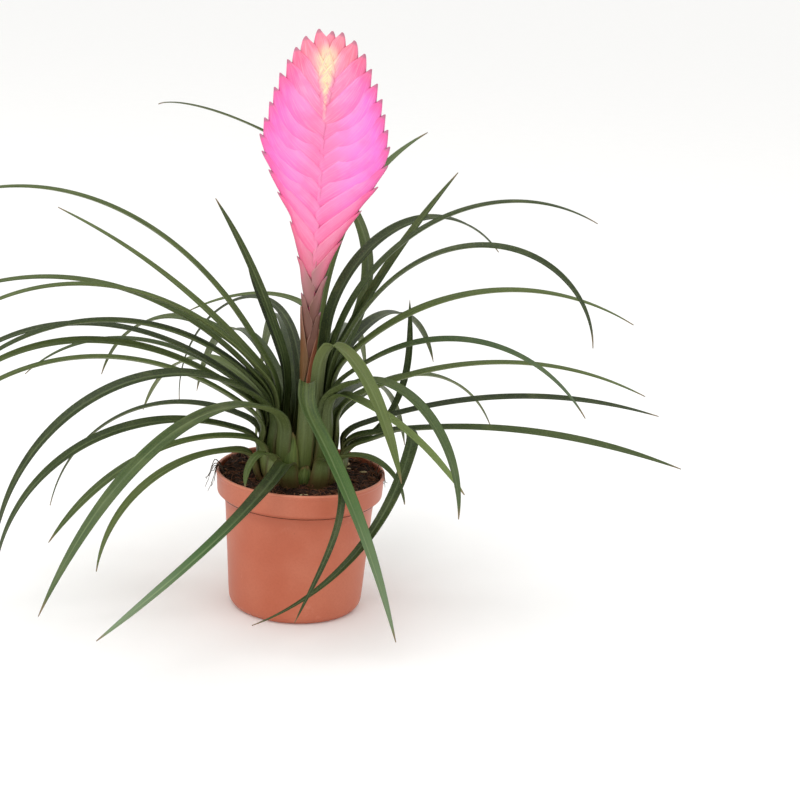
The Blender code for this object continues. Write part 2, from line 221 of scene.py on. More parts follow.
studio = {
    # camera: angles in radians
    "lens": 84.2, "sensor": 36.0, "near": 0.02, "far": 200,
    "eye": (0.0, -0.9508, 0.3816), "yaw": 0.0531, "pitch": 0.2722, "roll": 0.0620,
    "worldColour": (1.0, 0.995, 0.985, 1), "worldStrength": 1.0,
    # softboxes: where, what it faces, size and power
    "softboxTop": ((-0.35, -0.25, 1.7), (0, 0, 0.12), (1.3, 1.3), 9),
    "softboxFront": ((-0.9, -1.5, 1.0), (0, 0, 0.14), (0.9, 0.9), 5),
    # paper floor: rings of faces out to a far edge
    "floorRings": (0.4, 1.2, 4.0, 12.0, 30.0), "floorSides": 64, "grain": 40,
    "paper": (0.935, 0.935, 0.93, 1), "paperPale": (0.96, 0.96, 0.955, 1),
}


def setCamera():
    yaw, pitch, roll = studio["yaw"], studio["pitch"], studio["roll"]
    forward = Vector((math.sin(yaw) * math.cos(pitch), math.cos(yaw) * math.cos(pitch),
                      -math.sin(pitch)))
    right = forward.cross(Vector((0, 0, 1))).normalized()
    up = right.cross(forward)
    rightRolled = right * math.cos(roll) + up * math.sin(roll)
    upRolled = up * math.cos(roll) - right * math.sin(roll)
    camera = bpy.data.objects.new("camera", bpy.data.cameras.new("camera"))
    bpy.context.scene.collection.objects.link(camera)
    camera.data.lens = studio["lens"]
    camera.data.sensor_width = studio["sensor"]
    camera.data.clip_start, camera.data.clip_end = studio["near"], studio["far"]
    camera.matrix_world = Matrix.Translation(studio["eye"]) @ Matrix(
        (rightRolled, upRolled, -forward)).transposed().to_4x4()
    bpy.context.scene.camera = camera


def addSoftbox(name, at, target, size, power):
    lamp = bpy.data.lights.new(name, "AREA")
    lamp.shape = "RECTANGLE"
    lamp.size, lamp.size_y = size
    lamp.energy = power
    box = bpy.data.objects.new(name, lamp)
    bpy.context.scene.collection.objects.link(box)
    box.location = at
    box.rotation_euler = (Vector(target) - Vector(at)).to_track_quat("-Z", "Y").to_euler()


def setStudio():
    world = bpy.data.worlds.new("studio")
    world.use_nodes = True
    background = world.node_tree.nodes["Background"]
    background.inputs["Color"].default_value = studio["worldColour"]
    background.inputs["Strength"].default_value = studio["worldStrength"]
    bpy.context.scene.world = world
    bpy.context.scene.view_settings.view_transform = "Standard"
    for name in ("softboxTop", "softboxFront"):
        addSoftbox(name, *studio[name])
    rings, sides = studio["floorRings"], studio["floorSides"]
    points, faces = [], []
    for radius in rings:
        points += [onRing(radius, math.tau * k / sides) for k in range(sides)]
    points.append((0, 0, 0))
    faces += [(len(points) - 1, k, (k + 1) % sides) for k in range(sides)]
    for r in range(len(rings) - 1):
        low, high = r * sides, (r + 1) * sides
        faces += [(low + k, high + k, high + (k + 1) % sides, low + (k + 1) % sides)
                  for k in range(sides)]
    paper = newMaterial("paperFloor", 0.75, 0.2)
    grain = speckle(place(), studio["grain"])
    wire(mixColour(grain, studio["paper"], studio["paperPale"]), "Base Color")
    makePiece("paperSweep", points, faces, [paper])


setCamera()
setStudio()
print("camera, floor and light are set")


pot = {
    "height": 0.0750, "rim": 0.0450, "band": 0.0125, "shoulder": 0.0396, "shoulderZ": 0.0595,
    "base": 0.0355, "wall": 0.0013, "floor": 0.0016, "recess": 0.0018, "pad": 0.0130,
    "holes": 8, "holeRadius": 0.0035, "holeCircle": 0.0235, "holeSides": 28, "drillDepth": 0.016,
    "steps": 144, "arcSteps": 5, "sharpFrom": 50,
    "clay": paint(184, 94, 64), "clayPale": paint(192, 108, 80), "clayDeepAndShadow": paint(156, 72, 46),
    "lip": paint(226, 150, 122), "rubbed": paint(228, 160, 136), "fleck": paint(96, 46, 30),
}


def innerRadius(z):   # of the inside of the pot at a height
    if z >= pot["shoulderZ"]:
        return pot["shoulder"] + 0.0012 + 0.0028 * ease((z - pot["shoulderZ"]) / 0.010)
    share = (pot["shoulderZ"] - z) / pot["shoulderZ"]
    return pot["shoulder"] - pot["wall"] - share * (pot["shoulder"] - pot["base"])


def roundedProfile(corners):   # (radius, height, rounding) corners made into short arcs
    line = []
    for i, (r, z, rounding) in enumerate(corners):
        at = Vector((r, z))
        if rounding <= 0 or i in (0, len(corners) - 1):
            line.append(at)
            continue
        before = Vector(corners[i - 1][:2]) - at
        after = Vector(corners[i + 1][:2]) - at
        start = at + before.normalized() * min(rounding, before.length * 0.45)
        end = at + after.normalized() * min(rounding, after.length * 0.45)
        for k in range(pot["arcSteps"] + 1):
            t = k / pot["arcSteps"]
            line.append(start.lerp(at, t).lerp(at.lerp(end, t), t))
    return line


def makePotMaterial():
    material = newMaterial("potPlastic", 0.42, 0.45)
    at = place()
    broad = speckle(at, 26, 2.0)
    fine = speckle(at, 900, 3.0, 0.6)
    height = heightOf(at)
    colour = mixColour(soften(broad, 0.35, 0.68), pot["clay"], pot["clayPale"])
    colour = mixColour(soften(height, 0.024, 0.0, 0.0, 0.35), colour, pot["clayPale"])
    # painted shadow under the rim band, fading down the body
    under = times(soften(height, 0.0530, 0.0600, 0.0, 0.40), soften(height, 0.0640, 0.0615))
    colour = mixColour(under, colour, pot["clayDeepAndShadow"])
    # painted highlight along the top of the rim
    colour = mixColour(times(soften(height, 0.0735, 0.0750), 0.55), colour, pot["lip"])
    # rubbed patches, fine dust and a few dark flecks
    rub = times(soften(speckle(at, 75, 4.0, 0.7), 0.60, 0.78), 0.22)
    colour = mixColour(rub, colour, pot["rubbed"])
    colour = mixColour(times(soften(fine, 0.35, 0.75), 0.16), colour, pot["clayDeepAndShadow"])
    cells = addNode("ShaderNodeTexVoronoi", {"Vector": at, "Scale": 120.0})
    fleck = times(soften(cells.outputs["Distance"], 0.10, 0.06),
                  soften(speckle(at, 38, 1.0), 0.60, 0.64))
    colour = mixColour(times(fleck, 0.75), colour, pot["fleck"])
    wire(colour, "Base Color")
    wire(soften(broad, 0.3, 0.7, 0.36, 0.50), "Roughness")
    grain = calc("ADD", times(broad, 1.4), times(fine, 0.25))
    bumpFrom(grain, 0.16, 0.0006)
    return material


def makePot():
    floorTop = pot["recess"] + pot["floor"]
    rim, high, base = pot["rim"], pot["height"], pot["base"]
    corners = [   # from the middle of the inside floor, over the rim and down to the base
        (0, floorTop, 0), (innerRadius(floorTop) - 0.0012, floorTop, 0.001),
        (innerRadius(0.008), 0.008, 0.001),
        (innerRadius(pot["shoulderZ"] - 0.001), pot["shoulderZ"] - 0.001, 0.001),
        (innerRadius(pot["shoulderZ"] + 0.005), pot["shoulderZ"] + 0.005, 0.002),
        (innerRadius(high - 0.003), high - 0.003, 0.002),
        (rim - 0.0017, high - 0.0010, 0.0006), (rim - 0.0013, high, 0.0005),
        (rim, high - 0.0001, 0.0006), (rim, high - 0.0020, 0.0006),
        (rim - 0.0004, high - 0.0027, 0.0006),   # a fine step under the lip
        (rim - 0.0010, high - pot["band"] + 0.0006, 0.0009),
        (rim - 0.0016, high - pot["band"], 0.0011),
        (pot["shoulder"] + 0.0018, pot["shoulderZ"] + 0.0014, 0.0014),
        (pot["shoulder"] + 0.0002, pot["shoulderZ"] - 0.0004, 0.0010),
        (pot["shoulder"] - 0.0004, pot["shoulderZ"] - 0.0060, 0.0020),
        (base + 0.0007, 0.0090, 0.0030), (base + 0.0001, 0.0030, 0.0016), (base - 0.0022, 0, 0.0018),
        (base - 0.0050, 0, 0.0006), (base - 0.0061, pot["recess"], 0.0006),
        (pot["pad"] + 0.0008, pot["recess"], 0.0004), (pot["pad"], 0, 0.0004), (0, 0, 0),
    ]
    line = roundedProfile(corners)
    steps, last = pot["steps"], len(line) - 1
    points, faces = [], []
    for p in line[1:last]:
        points += [onRing(p.x, math.tau * k / steps, p.y) for k in range(steps)]
    for r in range(last - 2):
        for k in range(steps):
            j = (k + 1) % steps
            faces.append((r * steps + k, r * steps + j, (r + 1) * steps + j, (r + 1) * steps + k))
    top, bottom = len(points), len(points) + 1
    points += [(0, 0, line[0].y), (0, 0, line[last].y)]
    end = (last - 2) * steps
    for k in range(steps):
        j = (k + 1) % steps
        faces.append((top, j, k))
        faces.append((bottom, end + k, end + j))
    piece = makePiece("potShell", points, faces, [makePotMaterial()], "pot")
    drill = bmesh.new()
    for i in range(pot["holes"]):
        spot = onRing(pot["holeCircle"], math.tau * (i + 0.5) / pot["holes"])
        bmesh.ops.create_cone(drill, cap_ends=True, segments=pot["holeSides"],
                              radius1=pot["holeRadius"], radius2=pot["holeRadius"],
                              depth=pot["drillDepth"], matrix=Matrix.Translation(spot))
    mesh = bpy.data.meshes.new("drill")
    drill.to_mesh(mesh)
    drill.free()
    cutter = bpy.data.objects.new("drill", mesh)
    bpy.context.scene.collection.objects.link(cutter)
    cut = piece.modifiers.new("drain", "BOOLEAN")
    cut.operation, cut.object = "DIFFERENCE", cutter
    freeze(piece)
    bpy.data.objects.remove(cutter, do_unlink=True)
    piece.data.set_sharp_from_angle(angle=math.radians(pot["sharpFrom"]))


makePot()
print("pot is made")


soil = {
    "edgeZ": 0.0706, "underZ": 0.0610, "rings": 46, "steps": 150, "swell": 0.0016, "clods": 0.0009,
    # where it is heaped: x, y, height, and how far that spreads, squared
    "heaps": ((-0.026, 0.012, 0.0030, 0.00028), (0.024, -0.004, 0.0014, 0.00020)),
    "crumbs": 420, "fibres": 480, "fibreSteps": 8, "seed": 11,
    "chips": (("soilBark", 20, 0.0026), ("soilStubs", 9, 0.0021)),
    "roots": 12, "rootsOnLeft": 7, "rootSteps": 11, "strandSides": 5,
    # dark, middle and light colour, and how fine the mottling is
    "soilEarth": (paint(20, 14, 12), paint(46, 30, 24), paint(84, 56, 42), 420),
    "soilFibre": (paint(60, 34, 24), paint(112, 70, 48), paint(158, 112, 84), 300),
    "soilBark": (paint(50, 30, 20), paint(98, 62, 40), paint(138, 98, 66), 260),
    "soilPale": (paint(150, 126, 84), paint(200, 184, 140), paint(226, 214, 176), 300),
    "rootBrown": (paint(34, 26, 20), paint(66, 52, 40), paint(110, 92, 72), 500),
    "fleck": paint(134, 104, 76),
}


def soilLift(x, y):   # long waves in the soil, level round the stem
    r = math.hypot(x, y)
    waves = (math.sin(260 * x + 1.3) * math.cos(210 * y - 0.4)
             + 0.6 * math.sin(410 * x - 350 * y) + 0.5 * math.cos(330 * y + 150 * x + 2.0))
    return soil["swell"] * (0.45 * waves + 0.5) * ease((r - 0.006) / 0.010)


def soilTop(x, y):   # height of the soil
    clods = noise.fractal(Vector((x, y, 0.3)) * 240, 0.9, 2.1, 4)
    heap = sum(height * math.exp(-((x - atX) ** 2 + (y - atY) ** 2) / spread)
               for atX, atY, height, spread in soil["heaps"])
    return soil["edgeZ"] + soilLift(x, y) + heap + soil["clods"] * clods


def makeSoilMaterial(name):
    dark, middle, light, scale = soil[name]
    material = newMaterial(name, 0.93, 0.25)
    at = place()
    coarse = speckle(at, scale, 6.0, 0.7)
    colour = ramp(coarse, [(0.30, dark), (0.50, middle), (0.72, light)])
    flecks = soften(speckle(at, scale * 4, 2.0), 0.62, 0.72)
    colour = mixColour(times(flecks, 0.5), colour, soil["fleck"])
    wire(colour, "Base Color")
    bumpFrom(coarse, 0.6, 0.0008)
    return material


def makeSoil():
    chance = random.Random(soil["seed"])
    earth, fibre, bark, pale = [makeSoilMaterial(name) for name in
                                ("soilEarth", "soilFibre", "soilBark", "soilPale")]
    edge = innerRadius(soil["edgeZ"]) - 0.0004
    rings, steps = soil["rings"], soil["steps"]
    points, faces = [(0, 0, soil["edgeZ"])], []
    for r in range(1, rings + 1):
        radius = edge * r / rings
        for k in range(steps):
            x, y = onRing(radius, math.tau * k / steps)[:2]
            points.append((x, y, soilTop(x, y) - 0.0012 * ease((radius - edge + 0.002) / 0.002)))
    for k in range(steps):
        x, y = points[1 + (rings - 1) * steps + k][:2]
        points.append((x * 0.97, y * 0.97, soil["underZ"]))
    faces += [(0, 1 + k, 1 + (k + 1) % steps) for k in range(steps)]
    for r in range(rings):
        low, high = 1 + r * steps, 1 + (r + 1) * steps
        faces += [(low + k, high + k, high + (k + 1) % steps, low + (k + 1) % steps)
                  for k in range(steps)]
    faces.append(tuple(1 + rings * steps + k for k in reversed(range(steps))))
    makePiece("soilBed", points, faces, [earth], "soil")

    def spot(near=0.012):   # anywhere on the soil from this far out
        radius = math.sqrt(chance.uniform(near ** 2, (edge - 0.0012) ** 2))
        x, y = onRing(radius, chance.uniform(0, math.tau))[:2]
        return Vector((x, y, soilTop(x, y)))

    # crumbs of peat
    points, faces = [], []
    for i in range(soil["crumbs"]):
        size = chance.uniform(0.0005, 0.0017) * (1.5 if chance.random() < 0.08 else 1)
        at = spot()
        lump = bmesh.new()
        bmesh.ops.create_icosphere(lump, subdivisions=2 if size > 0.0012 else 1, radius=size)
        start = len(points)
        for v in lump.verts:
            wobble = 1 + 0.45 * noise.noise(v.co * 900 + Vector((i, 0, 0)))
            points.append(at + Vector((v.co.x * wobble * 1.2, v.co.y * wobble, v.co.z * wobble * 0.75)))
        faces += [tuple(start + v.index for v in f.verts) for f in lump.faces]
        lump.free()
    makePiece("soilCrumbs", points, faces, [earth], "soil")

    # coconut fibres lying over the soil, a few standing off it
    points, faces, last = [], [], soil["fibreSteps"]
    for i in range(soil["fibres"]):
        at, turn = spot(), chance.uniform(0, math.tau)
        length, bend = chance.uniform(0.003, 0.011), chance.uniform(-1.4, 1.4)
        lift = chance.uniform(0.0, 0.0035) if chance.random() < 0.35 else 0.0006
        line = []
        for k in range(last + 1):
            t = k / last - 0.5
            turnHere = turn + bend * t
            x = at.x + math.cos(turnHere) * length * t
            y = at.y + math.sin(turnHere) * length * t
            short = min(1.0, (edge - 0.0004) / max(math.hypot(x, y), 1e-6))
            x, y = x * short, y * short
            line.append(Vector((x, y, soilTop(x, y) + 0.0003 + lift * (1 - 4 * t * t))))
        thick = chance.uniform(0.00008, 0.00020)
        radii = [thick * (1 - 0.5 * abs(2 * k / last - 1)) for k in range(last + 1)]
        addTube(points, faces, line, radii, soil["strandSides"])
    makePiece("soilFibres", points, faces, [fibre], "soil")

    # chips of bark and pale stubs, flat and broken
    for look, (name, count, size) in zip((bark, pale), soil["chips"]):
        points, faces = [], []
        for i in range(count):
            at, turn = spot(0.022), chance.uniform(0, math.tau)
            spin = Matrix.Rotation(turn, 3, "Z") @ Matrix.Rotation(chance.uniform(-0.5, 0.5), 3, "X")
            chip = bmesh.new()
            bmesh.ops.create_icosphere(chip, subdivisions=2, radius=1)
            long = size * chance.uniform(0.7, 1.5)
            start = len(points)
            for v in chip.verts:
                wobble = 1 + 0.5 * noise.noise(v.co * 2.2 + Vector((i * 3.1, 0, 0)))
                shaped = Vector((v.co.x * long, v.co.y * size * 0.5, v.co.z * size * 0.24)) * wobble
                points.append(at + spin @ shaped + Vector((0, 0, 0.0006)))
            faces += [tuple(start + v.index for v in f.verts) for f in chip.faces]
            chip.free()
        makePiece(name, points, faces, [look], "soil")

    # fine roots that have grown over the rim
    root = makeSoilMaterial("rootBrown")
    points, faces, last = [], [], soil["rootSteps"]
    for i in range(soil["roots"]):
        onLeft = i < soil["rootsOnLeft"]
        turn = math.radians(chance.uniform(168, 206) if onLeft else chance.uniform(-30, 40))
        reach = chance.uniform(0.001, 0.0060) if onLeft else chance.uniform(0.000, 0.003)
        drop = chance.uniform(-0.002, 0.010) if onLeft else chance.uniform(-0.002, 0.003)
        swing = chance.uniform(-0.30, 0.30)
        line = []
        for k in range(last + 1):
            t = k / last
            radius = 0.0405 + (0.0045 + reach) * t
            arch = 0.0052 * math.sin(math.pi * min(t * 1.25, 1)) ** 0.7
            z = soil["edgeZ"] + 0.0006 + arch + 0.0018 * ease(t * 2)
            z -= drop * max(0.0, t - 0.55) ** 1.3 * 2.6
            here = turn + swing * t + 0.03 * math.sin(9 * t + i)
            line.append(Vector(onRing(radius, here, max(z, 0.056))))
        thick = chance.uniform(0.00020, 0.00042)
        radii = [thick * (1 - 0.6 * k / last) for k in range(last + 1)]
        addTube(points, faces, line, radii, soil["strandSides"])
    makePiece("soilRoots", points, faces, [root], "soil")


makeSoil()
print("soil is made")


stem = {
    "footZ": 0.0560, "topZ": 0.1610, "radius": 0.0024, "rootstock": 0.0042, "slimmer": 0.35,
    "lean": 0.017, "leanFromZ": 0.0722, "joint": 0.00018, "rows": 60, "sides": 28,
    "salmon": paint(150, 92, 66), "brown": paint(108, 68, 42), "olive": paint(96, 98, 48),
}


def stemPoint(z):   # the middle of the leaning stem at a height
    return Vector((stem["lean"] * max(z - stem["leanFromZ"], 0.0), 0, z))


def makeStem():
    material = newMaterial("stemSkin", 0.5, 0.4)
    at = place()
    height = heightOf(at)
    stretch = addNode("ShaderNodeVectorMath", {0: at, 1: (1.0, 1.0, 0.12)}, operation="MULTIPLY")
    streak = speckle(stretch.outputs[0], 1400, 3.0)
    colour = mixColour(soften(streak, 0.35, 0.7), stem["brown"], stem["salmon"])
    colour = mixColour(soften(height, 0.128, 0.100), colour, stem["olive"])
    wire(colour, "Base Color")
    bumpFrom(streak, 0.4, 0.0004)
    points, faces, line, radii = [], [], [], []
    for r in range(stem["rows"] + 1):
        z = blendTo(stem["footZ"], stem["topZ"], r / stem["rows"])
        slim = 1 - stem["slimmer"] * ease((z - 0.146) / 0.012)   # inside the foot of the spike
        foot = (stem["rootstock"] - stem["radius"]) * (1 - ease((z - 0.080) / 0.04))
        ring = stem["joint"] * math.exp(-((z * 1000 % 17 - 8) / 1.6) ** 2)   # soft joints up the stem
        line.append(stemPoint(z))
        radii.append(slim * stem["radius"] + foot + ring)
    addTube(points, faces, line, radii, stem["sides"])
    makePiece("flowerStem", points, faces, [material], "stem")


stemBract = {
    # azimuth, foot height and length in mm, width, how far out it lies, how green it is, node
    "places": ((206, 92, 56, 0.0078, 0.0, 0.95, "stem_bract_1"),
               (24, 104, 52, 0.0084, 0.0003, 0.10, "stem_bract_2"),
               (184, 122, 42, 0.0120, 0.0008, 0.45, "stem_bract_3"),
               (-4, 112, 40, 0.0115, 0.0005, 0.0, "stem_bract_4")),
    # radius at a height
    "swell": ((0.090, 0.0027), (0.138, 0.0027), (0.148, 0.0033), (0.157, 0.0040), (0.166, 0.0044),
              (0.176, 0.0046)),
    "keel": 0.0006, "skin": 0.0004, "rows": 44, "columns": 17,
    # colours from the foot up
    "colours": [(0.0, paint(138, 78, 46)), (0.35, paint(140, 80, 52)), (0.65, paint(136, 86, 66)),
                (1.0, paint(150, 102, 94))],
    "leafy": paint(60, 78, 32), "streak": paint(190, 136, 126), "edge": paint(232, 206, 176),
    "tip": paint(150, 112, 92),
}


def makeStemBractMaterial():
    material = newMaterial("stemBractSkin", 0.48, 0.4)
    along, across = reading("along"), reading("across")
    height = heightOf(place())
    lines = joined(times(across, 14.0), times(along, 2.0))
    streak = speckle(lines, 1.0, 3.0)
    colour = ramp(soften(height, 0.120, 0.172), stemBract["colours"])
    colour = mixColour(reading("green"), colour, stemBract["leafy"])
    colour = mixColour(soften(streak, 0.4, 0.75, 0.0, 0.15), colour, stemBract["streak"])
    edge = soften(calc("ABSOLUTE", across), 0.90, 0.99, 0.0, 0.12)
    colour = mixColour(edge, colour, stemBract["edge"])
    colour = mixColour(soften(along, 0.93, 1.0, 0.0, 0.7), colour, stemBract["tip"])
    wire(colour, "Base Color")
    letLightIn(0.08, (0.002, 0.001, 0.001))
    bumpFrom(streak, 0.3, 0.0004)
    return material


def makeStemBracts():
    skin = makeStemBractMaterial()
    rows, columns = stemBract["rows"], stemBract["columns"]
    for i, (azimuth, foot, length, wide, outer, green, node) in enumerate(stemBract["places"]):
        out = Vector(onRing(1, math.radians(azimuth)))
        side = Vector((-out.y, out.x, 0))
        points, alongs, acrosses, greens = [], [], [], []
        for r in range(rows + 1):
            t = r / rows
            z = (foot + length * t) / 1000
            radius = readCurve(stemBract["swell"], z) + outer
            flat = blendTo(0.94, 0.74, ease((z - 0.146) / 0.014))   # the spike is flatter front to back
            width = wide * (1 - t ** 1.7) ** 0.85 * (0.62 + 0.38 * ease(t * 3)) + 0.0002
            for c in range(columns):
                v = 2 * c / (columns - 1) - 1
                angle = v * width / 2 / radius
                keel = stemBract["keel"] * (1 - abs(v)) ** 2 * ease(t * 3)
                points.append(stemPoint(z) + out * (radius * math.cos(angle) + keel)
                              + side * radius * math.sin(angle) * flat)
                alongs.append(t)
                acrosses.append(v)
                greens.append(green * (1 - 0.7 * ease((z - 0.136) / 0.020)))
        piece = makePiece(f"stemBract{i + 1}", points, gridFaces(rows + 1, columns), [skin], node,
                          {"along": alongs, "across": acrosses, "green": greens})
        thicken(piece, stemBract["skin"])


makeStem()
makeStemBracts()
print("stem is made")


spike = {
    # of one bract: how far it rises, how deep its wing is at the middle, how thick it swells
    "rise": 0.0390, "depth": 0.0128, "swell": 0.0032, "clasp": 0.0012, "blunt": (0.0016, 0.0032),
    "skin": 0.00028, "rows": 40, "wing": 10,
    "footZ": 0.1585, "length": 0.1480, "rachis": (0.0018, 0.0009), "rachisSteps": 24, "seed": 3,
    # where each bract's tip is, as a share of the length
    "left": (0.085, 0.215, 0.335, 0.435, 0.510, 0.573, 0.631, 0.687, 0.742, 0.793, 0.842, 0.889,
             0.932, 0.971, 0.998),
    "right": (0.02, 0.15, 0.28, 0.39, 0.477, 0.552, 0.618, 0.675, 0.727, 0.778, 0.829, 0.877, 0.926,
              0.968, 0.992),
    # half width of the spike at a share of its length
    "leftEdge": ((0.0, 0.0046), (0.10, 0.0062), (0.18, 0.0078), (0.22, 0.0096), (0.35, 0.0146),
                 (0.45, 0.0226), (0.57, 0.0304), (0.63, 0.0320), (0.69, 0.0300), (0.74, 0.0280),
                 (0.79, 0.0262), (0.84, 0.0238), (0.89, 0.0202), (0.93, 0.0164), (0.97, 0.0118),
                 (1.0, 0.0046)),
    "rightEdge": ((0.0, 0.0048), (0.10, 0.0056), (0.19, 0.0083), (0.26, 0.0122), (0.375, 0.0212),
                  (0.475, 0.0300), (0.55, 0.0342), (0.62, 0.0345), (0.68, 0.0328), (0.73, 0.0308),
                  (0.775, 0.0290), (0.835, 0.0256), (0.88, 0.0222), (0.93, 0.0180),
                  (0.97, 0.0124), (0.992, 0.0062)),
    # colours from the lowest bract to the highest
    "colours": [
        (0.02, paint(116, 78, 66)), (0.09, paint(150, 102, 99)), (0.15, paint(176, 118, 122)),
        (0.22, paint(222, 112, 136)), (0.33, paint(240, 106, 144)), (0.44, paint(250, 102, 156)),
        (0.62, paint(250, 96, 170)), (0.82, paint(246, 94, 160)), (0.93, paint(240, 108, 142)),
        (1.0, paint(242, 138, 150))],
    "lilacAndHighlight": paint(246, 120, 216), "paintedGlow": paint(255, 186, 226), "shade": paint(244, 84, 148),
    "streak": paint(255, 184, 214), "redder": paint(240, 84, 140), "cream": paint(250, 232, 176),
    "margin": paint(206, 160, 146), "keel": paint(134, 92, 84), "tip": paint(160, 112, 128),
}


def bractLines(tipShare, side, reach, t):   # keel point, margin point and half thickness at a share t
    # lower bracts are shorter
    rise = spike["rise"] * blendTo(0.75, 1.0, ease((tipShare - 0.22) / 0.30))
    top = ease((tipShare - 0.89) / 0.07)
    depth = spike["depth"] + 0.0060 * ease((tipShare - 0.74) / 0.26)
    foot = tipShare * spike["length"] - rise
    # the keel runs up just inside the outline and stands upright at the tip
    keelZ = foot + rise * (0.25 * t + 0.75 * t ** 1.5)
    outline = readCurve(spike["leftEdge" if side < 0 else "rightEdge"], keelZ / spike["length"])
    rounding = math.sqrt(1 - max(0.0, (t - 0.80) / 0.20) ** 2)
    wide = min(reach + 0.0024 * top * rounding, outline * blendTo(0.945, 1.0, ease(4.2 * t - 3.2)))
    keel = Vector((side * wide * (1 - (1 - t) ** 3.2), 0, keelZ))
    # the margin leaves the middle steeply, flattens, then climbs and rounds over into a blunt tip
    climb = 0.14 * (1 - math.exp(-9 * t)) + 0.86 * t ** blendTo(1.25, 1.5, top)
    clasp = spike["clasp"] + 0.0030 * top
    blunt = blendTo(*spike["blunt"], ease((tipShare - 0.35) / 0.25))
    margin = Vector((side * blendTo(-clasp, reach - blunt, t), 0,
                     foot + depth + (rise - depth) * climb))
    rounding = math.sqrt(1 - max(0.0, (t - 0.78) / 0.22) ** 2)
    margin = keel.lerp(margin, rounding)
    full = blendTo(0.0044, spike["swell"], ease(tipShare / 0.30))
    swell = full * (1 - t) ** 0.55 * (0.62 + 0.38 * min(reach / 0.02, 1)) + 0.00012
    return keel, margin, swell


def makeBractMaterial():
    material = newMaterial("bractSkin", 0.40, 0.35)
    grow, along, depth = reading("grow"), reading("along"), reading("depth")
    flank, heart = reading("flank"), reading("heart")
    lines = joined(times(depth, 26.0), times(along, 3.0), times(grow, 37.0))
    streak = speckle(lines, 1.0, 3.0)
    mottle = speckle(place(), 120, 2.0)
    colour = ramp(grow, spike["colours"])
    # the wings turn lilac between the middle and the tips, more so on the right: partly the bracts' own
    # tint, partly painted highlight
    lilacAndHighlight = times(soften(along, 0.10, 0.45), soften(along, 0.98, 0.72))
    lilacAndHighlight = times(lilacAndHighlight, soften(grow, 0.46, 0.64))
    lilacAndHighlight = times(lilacAndHighlight, soften(grow, 0.98, 0.80))
    lilacAndHighlight = times(lilacAndHighlight, soften(flank, -1.0, 1.0, 0.56, 0.95))
    colour = mixColour(lilacAndHighlight, colour, spike["lilacAndHighlight"])
    pinker = soften(grow, 0.12, 0.36)   # the foot stays dull
    # painted highlight: paler towards each bract's margin, away from its tip
    paintedGlow = soften(times(depth, soften(along, 1.0, 0.6)), 0.25, 0.85, 0.0, 0.30)
    colour = mixColour(times(paintedGlow, pinker), colour, spike["paintedGlow"])
    shadeLine = times(soften(depth, 0.34, 0.02, 0.0, 0.32), pinker)
    colour = mixColour(shadeLine, colour, spike["shade"])
    paleStreak = times(soften(streak, 0.42, 0.78, 0.0, 0.26), pinker)
    paleStreak = times(paleStreak, soften(grow, 0.80, 0.95, 1.0, 2.4))
    colour = mixColour(paleStreak, colour, spike["streak"])
    redder = times(soften(mottle, 0.40, 0.75, 0.0, 0.22), pinker)
    colour = mixColour(redder, colour, spike["redder"])
    heart = times(heart, soften(streak, 0.30, 0.60, 0.30, 1.0))
    colour = mixColour(times(heart, 0.85), colour, spike["cream"])
    # the lowest bracts have a thin pale margin and a brown keel, its dark line along the outer edge
    # partly painted shade
    margin = times(soften(grow, 0.36, 0.20), soften(depth, 0.90, 0.98, 0.0, 0.20))
    colour = mixColour(margin, colour, spike["margin"])
    keel = times(soften(grow, 0.56, 0.40), soften(depth, 0.07, 0.02, 0.0, 0.75))
    colour = mixColour(keel, colour, spike["keel"])
    colour = mixColour(soften(along, 0.93, 0.98, 0.0, 0.75), colour, spike["tip"])
    wire(colour, "Base Color")
    wire(soften(streak, 0.3, 0.7, 0.36, 0.48), "Roughness")
    letLightIn(0.12, (0.003, 0.001, 0.0018))
    bumpFrom(streak, 0.22, 0.0004)
    return material


